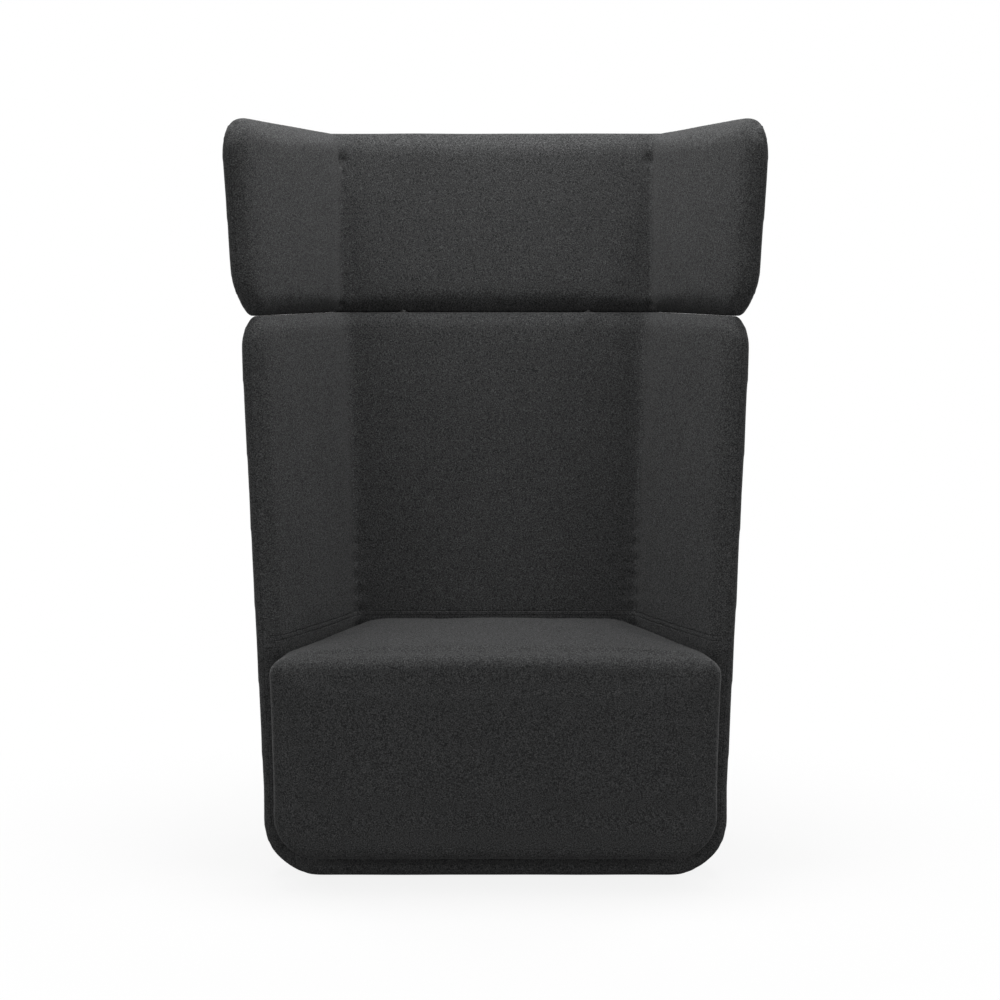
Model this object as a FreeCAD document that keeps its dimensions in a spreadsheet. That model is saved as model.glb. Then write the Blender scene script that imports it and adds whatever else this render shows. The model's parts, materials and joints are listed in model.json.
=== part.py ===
import FreeCAD, Part
import math
import os

import Sketcher

# A high back lounge chair: a reclined, splayed shell with rolled rims, a deep seat block set between
# its wings, and a separate winged headrest that lifts off two steel posts.
# Millimetres, +Z up, +Y to the rear. The origin is on the floor under the middle of the chair.

V = FreeCAD.Vector
doc = FreeCAD.newDocument("lounge_chair")
sheet = doc.addObject("Spreadsheet::Sheet", "Dims")

SIZES = {
    # The shell: half width at the floor on its front edge, then the angles of its flat walls
    "chair_half": 422.4,
    "chair_front": -315,
    "chair_splay": 16.4,
    "chair_flare": 5.28,
    "chair_lean": 8,
    "chair_top": 1017,
    "recline": 11,
    "back_foot": 120,
    # The headrest: how far it stands out past the shell's sides at its lower front corner, and its walls
    "head_overhang": 11.3,
    "head_flare": 3.8,
    "head_lean": 1.5,
    "head_height": 366.5,
    "head_gap": 0.5,
    # Layers of a wall, from the outside in
    "outer_pad": 10,
    "board": 18,
    "wing_pad": 16,
    "back_pad": 30,
    "rim_seam": 19,
    # Roundings
    "rim_roll": 19,
    "inner_roll": 20,
    "back_roll": 14,
    "foot_corner": 100,
    "back_corner": 30,
    "chair_top_corner": 53,
    "head_top_corner": 52,
    "head_low_corner": 64,
    # Where one cover ends and the next starts
    "base_lip": 8,
    "seam_drop": 8,
    "back_wrap": 34,
    # Glides under the base
    "glide_height": 4,
    "glide_radius": 20,
    "glide_pin": 4,
    "glide_pin_length": 24,
    "glide_inset": 62,
    # The seat block: its reach past the shell's foot, its level, and how far its front is inside the sides
    "seat_reach": 70,
    "seat_lift": 4,
    "seat_top": 428,
    "seat_fall": 24,
    "seat_crown": 7,
    "seat_margin_top": 54.2,
    "seat_margin_low": 34.1,
    "seat_corner": 80,
    "seat_shoulder": 30,
    "seat_nose": 24,
    "seat_draw": 3,
    "seat_clearance": 1,
    "least_round": 2,
    "seat_cover": 12,
    "seat_rail": 18,
    "seat_deck": 250,
    "webbing": 2.5,
    "webbing_width": 60,
    "strap_pitch": 110,
    "seat_opening": 200,
    "opening_edge": 60,
    "cloth": 1.5,
    # Bolts that hold the seat block down
    "bolt_radius": 4,
    "bolt_head_radius": 9,
    "bolt_head": 3,
    "nut_radius": 6,
    "nut_flange_radius": 12,
    "nut_flange": 1.6,
    "nut_length": 12,
    "bolt_spread": 150,
    "bolt_inset_front": 85,
    "bolt_inset_rear": 120,
    "spacer_radius": 20,
    # Posts, sleeves and their clamps
    "post_spread": 190,
    "post_radius": 8,
    "post_wall": 2,
    "post_rise": 190,
    "post_depth": 300,
    "slide_clearance": 0.3,
    "sleeve_wall": 1.7,
    "sleeve_margin": 15,
    "clamp_width": 46,
    "clamp_depth": 25,
    "clamp_height": 28,
    "clamp_screw": 16,
    "clamp_top_gap": 4,
    "bezel_radius": 13,
    "bezel_depth": 7,
    "clearance": 0.3,
    # Wood screws
    "screw_radius": 2.2,
    "screw_head_radius": 4,
    "screw_head": 3,
    "screw_edge": 5,
    "screw_length": 34,
    "screw_short": 3,
}
for row, (alias, value) in enumerate(SIZES.items(), 1):
    sheet.set(f"A{row}", alias)
    sheet.set(f"B{row}", str(value))
    sheet.setAlias(f"B{row}", alias)
doc.recompute()


def size(alias):
    return float(sheet.get(alias))


def front_y(form, inset, z):
    """Depth of a form's front plane at a height."""
    lean = form["lean"]
    return f"({form['front']} + (({z}) - {form['level']}) * tan({lean}) + ({inset}) / cos({lean}))"


def back_y(inset, z):
    """Depth of the reclined back plane at a height."""
    return f"(Dims.back_foot + ({z}) * tan(Dims.recline) - ({inset}) / cos(Dims.recline))"


def side_x(form, inset, y, z):
    """Half width between a form's side planes at a depth and a height."""
    splay = "Dims.chair_splay"
    return (f"({form['half']} + (({z}) - {form['level']}) * tan({form['flare']}) / cos({splay})"
            f" - (({y}) - {form['front']}) * tan({splay})"
            f" - ({inset}) / (cos({splay}) * cos({form['flare']})))")


# The two forms share the splay and the reclined back plane. Each has its own sides and front plane.
CHAIR = {
    "half": "Dims.chair_half",
    "level": "0",
    "front": "Dims.chair_front",
    "flare": "Dims.chair_flare",
    "lean": "Dims.chair_lean",
    "low": "Dims.glide_height",
    "high": "Dims.chair_top",
}
HEAD_LOW = "(Dims.chair_top + Dims.head_gap)"
HEAD_FRONT = front_y(CHAIR, "0", HEAD_LOW)
HEAD = {
    "half": f"({side_x(CHAIR, '0', HEAD_FRONT, HEAD_LOW)} + Dims.head_overhang)",
    "level": HEAD_LOW,
    "front": HEAD_FRONT,
    "flare": "Dims.head_flare",
    "lean": "Dims.head_lean",
    "low": HEAD_LOW,
    "high": f"({HEAD_LOW} + Dims.head_height)",
}
BOARD_IN = "(Dims.outer_pad + Dims.board)"
WING_WALL = "(Dims.outer_pad + Dims.board + Dims.wing_pad)"
BACK_WALL = "(Dims.outer_pad + Dims.board + Dims.back_pad)"
BASE_TOP = "(Dims.glide_height + Dims.foot_corner + Dims.base_lip)"
LINER_SEAM = "(Dims.seat_top - Dims.seam_drop)"

# Tool shapes run past the faces they cut: a little way, ahead of the seat, and clear of the whole chair
BEYOND = "(-4 * Dims.rim_seam)"
AHEAD = "(-Dims.chair_half / 2)"
FAR = "(2 * Dims.chair_half)"
TALL = "(2 * Dims.chair_top)"
UNDER = "(-Dims.foot_corner)"


def origin_plane(body, role):
    return next(item for item in body.Origin.OriginFeatures if item.Role == role)


def plan_sketch(body, name, corners, height):
    """A closed straight outline on a level plane, each corner placed by two expressions."""
    sketch = body.newObject("Sketcher::SketchObject", name)
    sketch.AttachmentSupport = [(origin_plane(body, "XY_Plane"), "")]
    sketch.MapMode = "FlatFace"
    sketch.setExpression("AttachmentOffset.Base.z", height)
    count = len(corners)
    turn = 2 * math.pi / count
    reach = size("chair_half")
    loose = [V(math.cos(turn * (i - 1.5)), math.sin(turn * (i - 1.5)), 0) * reach for i in range(count)]
    for i in range(count):
        sketch.addGeometry(Part.LineSegment(loose[i], loose[(i + 1) % count]), False)
    for i in range(count):
        sketch.addConstraint(Sketcher.Constraint("Coincident", i, 2, (i + 1) % count, 1))
    for i, (x, y) in enumerate(corners):
        across = sketch.addConstraint(Sketcher.Constraint("DistanceX", -1, 1, i, 1, loose[i].x))
        sketch.setExpression(f"Constraints[{across}]", x)
        along = sketch.addConstraint(Sketcher.Constraint("DistanceY", -1, 1, i, 1, loose[i].y))
        sketch.setExpression(f"Constraints[{along}]", y)
    return sketch


def outward(face):
    """A face's outward normal, at its middle."""
    low_u, high_u, low_v, high_v = face.ParameterRange
    return face.normalAt((low_u + high_u) / 2, (low_v + high_v) / 2)


def drafted(body, base, name, angle, flipped, wanted):
    """Lean the wanted faces of a block by an angle from its lowest face."""
    doc.recompute()
    draft = body.newObject("PartDesign::Draft", name)
    faces = base.Shape.Faces
    draft.Base = (base, [f"Face{i}" for i, face in enumerate(faces, 1) if wanted(outward(face))])
    low = min(range(len(faces)), key=lambda i: faces[i].CenterOfMass.z)
    draft.NeutralPlane = (base, [f"Face{low + 1}"])
    draft.setExpression("Angle", angle)
    draft.Reversed = flipped
    return draft


def block(name, form, side, front, back, low=None, high=None):
    """The space inside a form's planes: its splayed sides, leaning front and reclined back."""
    low = low or form["low"]
    high = high or form["high"]
    body = doc.addObject("PartDesign::Body", name)
    near = front_y(form, front, low)
    far = back_y(back, low)
    near_x = side_x(form, side, near, low)
    far_x = side_x(form, side, far, low)
    corners = [(f"-{near_x}", near), (near_x, near), (far_x, far), (f"-{far_x}", far)]
    sketch = plan_sketch(body, f"{name}_plan", corners, low)
    pad = body.newObject("PartDesign::Pad", f"{name}_pad")
    pad.Profile = sketch
    pad.setExpression("Length", f"({high}) - ({low})")
    sides = drafted(body, pad, f"{name}_sides", form["flare"], True, lambda n: abs(n.x) > 0.7)
    nose = drafted(body, sides, f"{name}_front", form["lean"], False, lambda n: n.y < -0.7)
    drafted(body, nose, f"{name}_back", "Dims.recline", True, lambda n: n.y > 0.7)
    doc.recompute()
    return body


def is_flat(face):
    return isinstance(face.Surface, Part.Plane)


def edges_where(shape, wanted):
    """Names of the edges whose two faces pass the test, in either order."""
    names = []
    for i, edge in enumerate(shape.Edges, 1):
        faces = shape.ancestorsOfType(edge, Part.Face)
        if len(faces) == 2 and (wanted(faces[0], faces[1]) or wanted(faces[1], faces[0])):
            names.append(f"Edge{i}")
    return names


def rounded(body, name, radius, wanted):
    """Round the edges between the wanted pairs of faces."""
    doc.recompute()
    base = body.Tip
    fillet = body.newObject("PartDesign::Fillet", name)
    fillet.Base = (base, edges_where(base.Shape, wanted))
    fillet.setExpression("Radius", radius)
    doc.recompute()
    return body


def is_side(face):
    return abs(outward(face).x) > 0.7


def is_rim(face):
    """The front, top and bottom faces of a wall, and the rounds that join them."""
    normal = outward(face)
    return abs(normal.x) < 0.05 and normal.y < 0.7


def round_foot(body, radius):
    """Round the long lower edges, where the sides turn in under the seat."""
    return rounded(body, f"{body.Name}_foot", radius, lambda a, b: is_side(a) and outward(b).z < -0.9)


def round_top_front(body, radius):
    return rounded(body, f"{body.Name}_top_front", radius,
                   lambda a, b: outward(a).y < -0.9 and outward(b).z > 0.9)


def above(form):
    return f"({form['high']} - {BEYOND})"


def below(form):
    return f"({form['low']} + {BEYOND})"


def before_back(name, form, inset, front=BEYOND):
    """All the space in front of a plane parallel to the back."""
    return block(name, form, BEYOND, front, inset, below(form), above(form))


def box(name, low, high):
    """A level box between two corners, each given by three expressions."""
    item = doc.addObject("Part::Box", name)
    for prop, axis, a, b in zip(("Length", "Width", "Height"), "xyz", low, high):
        item.setExpression(prop, f"({b}) - ({a})")
        item.setExpression(f"Placement.Base.{axis}", a)
    return item


def right_half(name, low=UNDER, high=TALL):
    return box(name, ("0", f"-{FAR}", low), (FAR, FAR, high))


def band(name, low, high):
    return box(name, (f"-{FAR}", f"-{FAR}", low), (FAR, FAR, high))


def cut(name, base, *tools):
    """The base without any of the tools."""
    result = doc.addObject("Part::Cut", name)
    result.Base = base
    if len(tools) == 1:
        result.Tool = tools[0]
    else:
        joined = doc.addObject("Part::Compound", f"{name}_tools")
        joined.Links = list(tools)
        result.Tool = joined
    doc.recompute()
    return result


def common(name, *shapes):
    """What lies inside all the shapes."""
    result = doc.addObject("Part::MultiCommon", name)
    result.Shapes = list(shapes)
    doc.recompute()
    return result


def mirrored(name, source):
    result = doc.addObject("Part::Mirroring", name)
    result.Source = source
    result.Normal = V(1, 0, 0)
    doc.recompute()
    return result


def group(name, items):
    result = doc.addObject("Part::Compound", name)
    result.Links = items
    doc.recompute()
    return result


NODES = []


def node(name, item):
    item.Label = name
    NODES.append(item)
    return item


def pair(stem, right):
    """The right piece and its mirror image, as two nodes."""
    node(f"{stem}_right", right)
    node(f"{stem}_left", mirrored(f"{stem}_mirror", right))


def softened(name, source, wanted, radius="Dims.inner_roll"):
    """A padded piece whose inner rim is rolled, starting from a plain solid."""
    body = doc.addObject("PartDesign::Body", name)
    body.BaseFeature = source
    doc.recompute()
    return rounded(body, f"{name}_roll", radius, wanted)


def faces_middle(face):
    """True for a wall face that looks towards the sitter, or for the floor between the walls."""
    normal = outward(face)
    middle = face.CenterOfMass
    return normal.x * middle.x < -1 or (normal.z > 0.9 and middle.z < size("foot_corner"))


def is_front_rim(face):
    normal = outward(face)
    return abs(normal.x) < 0.05 and normal.y < -0.1


def screw(name, radius, head_radius, head, length, place):
    """A countersunk screw: a straight shank under a conical head, along its own axis."""
    shank = doc.addObject("Part::Cylinder", f"{name}_shank")
    shank.setExpression("Radius", radius)
    shank.setExpression("Height", length)
    cone = doc.addObject("Part::Cone", f"{name}_head")
    cone.setExpression("Radius1", head_radius)
    cone.setExpression("Radius2", radius)
    cone.setExpression("Height", head)
    place(shank)
    place(cone)
    result = doc.addObject("Part::MultiFuse", name)
    result.Shapes = [shank, cone]
    return result


def turn_about_x(item, angle):
    item.Placement = FreeCAD.Placement(V(0, 0, 0), FreeCAD.Rotation(V(1, 0, 0), 1))
    item.setExpression("Placement.Rotation.Angle", angle)


def put(item, x, y, z):
    for axis, value in zip("xyz", (x, y, z)):
        item.setExpression(f"Placement.Base.{axis}", value)
    return item


def on_board(item, x, out, up, angle="-Dims.recline"):
    """Place an item by its distances in front of the back boards and along them from the chair's top."""
    turn_about_x(item, angle)
    y = f"{back_y(BOARD_IN, 'Dims.chair_top')} - ({out}) * cos(Dims.recline) + ({up}) * sin(Dims.recline)"
    z = f"Dims.chair_top + ({out}) * sin(Dims.recline) + ({up}) * cos(Dims.recline)"
    return put(item, x, y, z)


def rod(name, radius, length):
    item = doc.addObject("Part::Cylinder", name)
    item.setExpression("Radius", radius)
    item.setExpression("Height", length)
    return item


# The chair's shell: a bent plywood wrap, a back board, and padded covers outside and inside them
BASE_LEVEL = CHAIR["low"]
CHAIR_RIM = f"({CHAIR['high']} - Dims.rim_seam)"

outer_form = block("outer_form", CHAIR, "0", "0", "0")
round_foot(outer_form, "Dims.foot_corner")
rounded(outer_form, "outer_form_heel", "Dims.back_corner", lambda a, b: is_flat(a) and outward(a).y > 0.9)
round_top_front(outer_form, "Dims.chair_top_corner")


def is_chair_rim(face):
    return is_rim(face) and outward(face).z > -0.9


rounded(outer_form, "outer_form_rim", "Dims.rim_roll", lambda a, b: is_chair_rim(a) and not is_chair_rim(b))

seam_form = block("seam_form", CHAIR, "Dims.rim_seam", BEYOND, "Dims.rim_seam",
                  f"{BASE_LEVEL} + Dims.rim_seam", above(CHAIR))
round_foot(seam_form, "Dims.foot_corner - Dims.rim_seam")

board_form = block("board_form", CHAIR, "Dims.outer_pad", "Dims.rim_seam", "Dims.outer_pad",
                   f"{BASE_LEVEL} + Dims.outer_pad", CHAIR_RIM)
round_foot(board_form, "Dims.foot_corner - Dims.outer_pad")
round_top_front(board_form, "Dims.chair_top_corner - Dims.rim_seam")
board_core = block("board_core", CHAIR, BOARD_IN, BEYOND, BEYOND, f"{BASE_LEVEL} + {BOARD_IN}", above(CHAIR))
round_foot(board_core, f"Dims.foot_corner - {BOARD_IN}")
before_board = before_back("before_board", CHAIR, BOARD_IN)

cavity = block("cavity", CHAIR, WING_WALL, BEYOND, BACK_WALL, f"{BASE_LEVEL} + {WING_WALL}", above(CHAIR))
round_foot(cavity, f"Dims.foot_corner - {WING_WALL}")
before_wrap = before_back("before_wrap", CHAIR, "Dims.back_wrap")
before_pad = before_back("before_pad", CHAIR, BACK_WALL)

wrap_blank = cut("wrap_blank", common("wrap_front", board_form, before_board), board_core)
back_blank = cut("back_blank", board_form, before_board)
outer_layer = cut("outer_layer", outer_form, seam_form, wrap_blank, back_blank)
inner_layer = cut("inner_layer", common("inner_block", outer_form, seam_form), cavity, wrap_blank, back_blank)
outer_front = common("outer_front", outer_layer, before_wrap)
inner_front = common("inner_front", inner_layer, before_pad)
inner_rear = cut("inner_rear", inner_layer, before_pad)

# Glides: a disc on the floor with a pin driven up into the base
GLIDE_SPOTS = []
for depth in ("Dims.chair_front + Dims.glide_inset", "Dims.back_foot - Dims.glide_inset"):
    reach = f"{side_x(CHAIR, '0', depth, BASE_LEVEL)} - Dims.foot_corner - Dims.glide_radius"
    GLIDE_SPOTS += [(reach, depth), (f"-({reach})", depth)]
glides = []
glide_holes = []
for number, (x, y) in enumerate(GLIDE_SPOTS):
    disc = put(rod(f"glide_disc_{number}", "Dims.glide_radius", BASE_LEVEL), x, y, "0")
    pin = put(rod(f"glide_pin_{number}", "Dims.glide_pin", "Dims.glide_pin_length"), x, y, "0")
    glide = doc.addObject("Part::MultiFuse", f"glide_{number}")
    glide.Shapes = [disc, pin]
    glides.append(glide)
    hole = rod(f"glide_hole_{number}", "Dims.glide_pin + Dims.clearance",
               "Dims.glide_pin_length + Dims.clearance")
    glide_holes.append(put(hole, x, y, "0"))
glide_drill = group("glide_drill", glide_holes)

# Bolts up through the base into tee nuts in the seat tray
FLOOR_TOP = f"({BASE_LEVEL} + {WING_WALL})"
SEAT_LOW = f"({FLOOR_TOP} + Dims.seat_lift)"
SEAT_TRAY = f"({SEAT_LOW} + Dims.seat_cover)"
TRAY_TOP = f"({SEAT_TRAY} + Dims.seat_rail)"
BOLT_BASE = f"({BASE_LEVEL} + Dims.outer_pad)"
BOLT_FRONT = "(Dims.chair_front + Dims.bolt_inset_front)"
BOLT_REAR = "(Dims.back_foot - Dims.bolt_inset_rear)"
BOLT_SPOTS = [(x, y) for x in ("-Dims.bolt_spread", "Dims.bolt_spread") for y in (BOLT_FRONT, BOLT_REAR)]
bolts = []
bolt_holes = []
head_pockets = []
nuts = []
nut_holes = []
spacers = []
spacer_holes = []
for number, (x, y) in enumerate(BOLT_SPOTS):
    shank = put(rod(f"bolt_shank_{number}", "Dims.bolt_radius", f"{TRAY_TOP} - {BOLT_BASE}"), x, y, BOLT_BASE)
    bolt_head = put(rod(f"bolt_head_{number}", "Dims.bolt_head_radius", "Dims.bolt_head"),
                    x, y, f"{BOLT_BASE} - Dims.bolt_head")
    bolt = doc.addObject("Part::MultiFuse", f"bolt_{number}")
    bolt.Shapes = [shank, bolt_head]
    bolts.append(bolt)
    hole = rod(f"bolt_hole_{number}", "Dims.bolt_radius + Dims.clearance", f"{TRAY_TOP} + 2 * Dims.bolt_head")
    bolt_holes.append(put(hole, x, y, "0"))
    pocket = rod(f"bolt_pocket_{number}", "Dims.bolt_head_radius + Dims.clearance", BOLT_BASE)
    head_pockets.append(put(pocket, x, y, "0"))
    barrel = put(rod(f"nut_barrel_{number}", "Dims.nut_radius", "Dims.nut_length"),
                 x, y, f"{TRAY_TOP} - Dims.nut_length")
    flange = put(rod(f"nut_flange_{number}", "Dims.nut_flange_radius", "Dims.nut_flange"), x, y, TRAY_TOP)
    nut_blank = doc.addObject("Part::MultiFuse", f"nut_blank_{number}")
    nut_blank.Shapes = [barrel, flange]
    nuts.append(cut(f"nut_{number}", nut_blank, bolt_holes[-1]))
    hole = rod(f"nut_hole_{number}", "Dims.nut_radius + Dims.clearance", "2 * Dims.nut_length")
    nut_holes.append(put(hole, x, y, f"{TRAY_TOP} - Dims.nut_length - Dims.clearance"))
    spacer = put(rod(f"spacer_blank_{number}", "Dims.spacer_radius", f"{SEAT_TRAY} - {FLOOR_TOP}"),
                 x, y, FLOOR_TOP)
    spacers.append(cut(f"spacer_{number}", spacer, bolt_holes[-1]))
    hole = rod(f"spacer_hole_{number}", "Dims.spacer_radius + Dims.clearance", TRAY_TOP)
    spacer_holes.append(put(hole, x, y, "0"))
bolt_drill = group("bolt_drill", bolt_holes)
pocket_drill = group("pocket_drill", head_pockets)
nut_drill = group("nut_drill", nut_holes)
spacer_drill = group("spacer_drill", spacer_holes)

# Screws through the back boards into the rear edges of the wings
WING_SCREW_INSET = "(Dims.outer_pad + Dims.screw_edge)"


def back_screws(name, form, heights):
    """Countersunk screws, square to the back board, in two rows."""
    items = []
    for i, height in enumerate(heights):
        y = back_y("Dims.outer_pad", height)
        x = side_x(form, WING_SCREW_INSET, y, height)
        for side, reach in (("r", x), ("l", f"-{x}")):
            def place(item, reach=reach, y=y, height=height):
                turn_about_x(item, "90 - Dims.recline")
                put(item, reach, y, height)
            items.append(screw(f"{name}_{side}{i}", "Dims.screw_radius", "Dims.screw_head_radius",
                               "Dims.screw_head", "Dims.screw_length", place))
    return group(name, items)


def rows(low, high, shares):
    """Heights at given shares of the way from one level to another."""
    return [f"({low} + {share} * ({high} - {low}))" for share in shares]


CHAIR_ROWS = (0.1, 0.37, 0.64, 0.91)
HEAD_ROWS = (0.18, 0.5, 0.82)
chair_screws = back_screws("chair_screws", CHAIR, rows(BASE_TOP, CHAIR["high"], CHAIR_ROWS))
head_screws = back_screws("head_screws", HEAD, rows(HEAD["low"], HEAD["high"], HEAD_ROWS))

# Posts in the chair's back, sleeves in the headrest, and the clamps that hold both to their boards
SIDES = (("r", "Dims.post_spread"), ("l", "-Dims.post_spread"))
STANDOFF = "(Dims.clamp_depth / 2)"
SLEEVE_BORE = "(Dims.post_radius + Dims.slide_clearance)"
SLEEVE_OUTER = f"({SLEEVE_BORE} + Dims.sleeve_wall)"
SLEEVE_LENGTH = "(Dims.post_rise + Dims.sleeve_margin)"
HEAD_START = "(Dims.head_gap / cos(Dims.recline))"
CLAMP_SCREW_LENGTH = "(Dims.clamp_depth + Dims.board - Dims.screw_short)"
RING_LENGTH = "(3 * Dims.bezel_depth)"


def tube(name, outer_radius, inner_radius, length, x, up):
    solid = on_board(rod(f"{name}_solid", outer_radius, length), x, STANDOFF, up)
    bore = on_board(rod(f"{name}_bore", inner_radius, length), x, STANDOFF, up)
    return cut(name, solid, bore)


def board_box(name, x, out, up, width, depth, height):
    """A box lying against the front of a back board, centred on x, its foot at a distance up the board."""
    item = doc.addObject("Part::Box", name)
    item.setExpression("Length", width)
    item.setExpression("Width", depth)
    item.setExpression("Height", height)
    return on_board(item, f"({x}) - ({width}) / 2", out, up)


def clamps(name, bore, ups):
    """Blocks bored for a round tube, two screws each: the clamps, then their screws."""
    blocks = []
    screws = []
    for side, x in SIDES:
        for i, up in enumerate(ups):
            tag = f"{name}_{side}{i}"
            plain = board_box(f"{tag}_plain", x, "Dims.clamp_depth", up,
                              "Dims.clamp_width", "Dims.clamp_depth", "Dims.clamp_height")
            hole = on_board(rod(f"{tag}_hole", bore, "Dims.clamp_height"), x, STANDOFF, up)
            own = []
            for j, offset in enumerate(("Dims.clamp_screw", "-Dims.clamp_screw")):
                def place(item, x=x, up=up, offset=offset):
                    on_board(item, f"{x} + {offset}", "Dims.clamp_depth", f"{up} + Dims.clamp_height / 2",
                             "-90 - Dims.recline")
                own.append(screw(f"{tag}_screw{j}", "Dims.screw_radius", "Dims.screw_head_radius",
                                 "Dims.screw_head", CLAMP_SCREW_LENGTH, place))
            blocks.append(cut(tag, plain, hole, *own))
            screws += own
    return group(name, blocks), group(f"{name}_screws", screws)


POST_START = "(-Dims.post_depth)"
post_list = [tube(f"post_{side}", "Dims.post_radius", "Dims.post_radius - Dims.post_wall",
                  "Dims.post_depth + Dims.post_rise", x, POST_START) for side, x in SIDES]
post_clamps, post_screws = clamps(
    "post_clamps", "Dims.post_radius",
    (POST_START, "(-Dims.rim_seam - Dims.clamp_top_gap - Dims.clamp_height)"))
sleeve_list = [tube(f"sleeve_{side}", SLEEVE_OUTER, SLEEVE_BORE, SLEEVE_LENGTH, x,
                    f"{HEAD_START} + Dims.bezel_depth") for side, x in SIDES]
sleeve_clamps, sleeve_screws = clamps(
    "sleeve_clamps", SLEEVE_OUTER,
    ("(Dims.rim_seam + Dims.clamp_top_gap)", f"({SLEEVE_LENGTH} - Dims.clamp_height)"))

CHANNEL_WIDE = "(Dims.clamp_width + 2 * Dims.clearance)"
CHANNEL_DEEP = "(Dims.clamp_depth + Dims.clearance)"
chair_channels = []
head_channels = []
bezels = []
head_bezels = []
for side, x in SIDES:
    chair_channels.append(board_box(f"post_channel_{side}", x, CHANNEL_DEEP,
                                    f"{POST_START} - Dims.clearance", CHANNEL_WIDE, CHANNEL_DEEP,
                                    "Dims.post_depth - Dims.rim_seam - Dims.clearance"))
    exit_hole = rod(f"post_exit_{side}", SLEEVE_BORE, "2 * Dims.rim_seam + Dims.bezel_depth")
    chair_channels.append(on_board(exit_hole, x, STANDOFF, "-2 * Dims.rim_seam"))
    seat_hole = rod(f"bezel_seat_{side}", "Dims.bezel_radius", RING_LENGTH)
    chair_channels.append(on_board(seat_hole, x, STANDOFF, "-Dims.bezel_depth"))
    ring = tube(f"bezel_ring_{side}", "Dims.bezel_radius", SLEEVE_BORE, RING_LENGTH, x,
                "-Dims.bezel_depth")
    bezels.append(common(f"bezel_{side}", ring, band(f"bezel_band_{side}", "0", "Dims.chair_top")))
    head_channels.append(board_box(f"sleeve_channel_{side}", x, CHANNEL_DEEP,
                                   f"{HEAD_START} + Dims.rim_seam", CHANNEL_WIDE, CHANNEL_DEEP,
                                   f"{SLEEVE_LENGTH} - Dims.bezel_depth"))
    entry = rod(f"sleeve_entry_{side}", f"{SLEEVE_OUTER} + Dims.clearance", "3 * Dims.rim_seam")
    head_channels.append(on_board(entry, x, STANDOFF, "-Dims.rim_seam"))
    ring_start = f"({HEAD_START} + Dims.bezel_depth - {RING_LENGTH})"
    seat_hole = rod(f"head_bezel_seat_{side}", "Dims.bezel_radius", RING_LENGTH)
    head_channels.append(on_board(seat_hole, x, STANDOFF, ring_start))
    ring = tube(f"head_bezel_ring_{side}", "Dims.bezel_radius", SLEEVE_BORE, RING_LENGTH, x, ring_start)
    head_bezels.append(common(f"head_bezel_{side}", ring, band(f"head_bezel_band_{side}", HEAD_LOW, TALL)))
chair_channel = group("chair_channel", chair_channels)
head_channel = group("head_channel", head_channels)

node("shell_wrap", cut("shell_wrap", wrap_blank, chair_screws, glide_drill, bolt_drill))
node("back_board", cut("back_board", back_blank, chair_screws, post_screws))
node("back_board_screws", chair_screws)
node("glides", group("glides", glides))
outer_base = common("outer_base_blank", outer_front, band("base_band", UNDER, BASE_TOP))
node("outer_base", cut("outer_base", outer_base, glide_drill, pocket_drill))
pair("outer_wing", common("outer_wing", outer_front, right_half("outer_right", BASE_TOP)))
node("outer_back", cut("outer_back", outer_layer, before_wrap))

base_liner = common("base_liner_blank", inner_front, band("liner_band", UNDER, BASE_TOP))
base_liner = softened("base_liner_pad", base_liner, lambda a, b: is_front_rim(a) and faces_middle(b))
node("base_liner", cut("base_liner", base_liner, bolt_drill))
wing_liner = common("wing_liner_blank", inner_front, right_half("liner_right", BASE_TOP, LINER_SEAM))
pair("wing_liner", softened("wing_liner", wing_liner, lambda a, b: is_front_rim(a) and faces_middle(b)))
node("back_liner", common("back_liner", inner_rear, band("back_liner_band", UNDER, LINER_SEAM)))
wing_inner = common("wing_inner_blank", inner_front, right_half("inner_right", LINER_SEAM))
pair("inner_wing", softened("inner_wing", wing_inner, lambda a, b: is_chair_rim(a) and faces_middle(b)))
back_inner = common("back_inner_blank", inner_rear, band("back_inner_band", LINER_SEAM, TALL))
back_inner = softened("back_inner_pad", back_inner, lambda a, b: outward(a).z > 0.3 and outward(b).y < -0.9,
                      "Dims.back_roll")
node("inner_back", cut("inner_back", back_inner, chair_channel))

node("headrest_posts", group("headrest_posts", post_list))
node("post_clamps", post_clamps)
node("post_clamp_screws", post_screws)
node("post_bezels", group("post_bezels", bezels))


# The headrest: three boards in a U, padded covers outside and inside, and a rim rolled all round
HEAD_BOARD_LOW = f"({HEAD['low']} + Dims.rim_seam)"
HEAD_BOARD_HIGH = f"({HEAD['high']} - Dims.rim_seam)"
HEAD_MIDDLE = size("chair_top") + size("head_height") / 2


def round_front_corners(body, top, low):
    round_top_front(body, top)
    return rounded(body, f"{body.Name}_low_front", low,
                   lambda a, b: outward(a).y < -0.9 and outward(b).z < -0.9)


head_form = block("head_form", HEAD, "0", "0", "0")
rounded(head_form, "head_form_back", "Dims.back_corner", lambda a, b: is_side(a) and outward(b).y > 0.9)
round_front_corners(head_form, "Dims.head_top_corner", "Dims.head_low_corner")
rounded(head_form, "head_form_rim", "Dims.rim_roll", lambda a, b: is_rim(a) and not is_rim(b))

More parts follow.
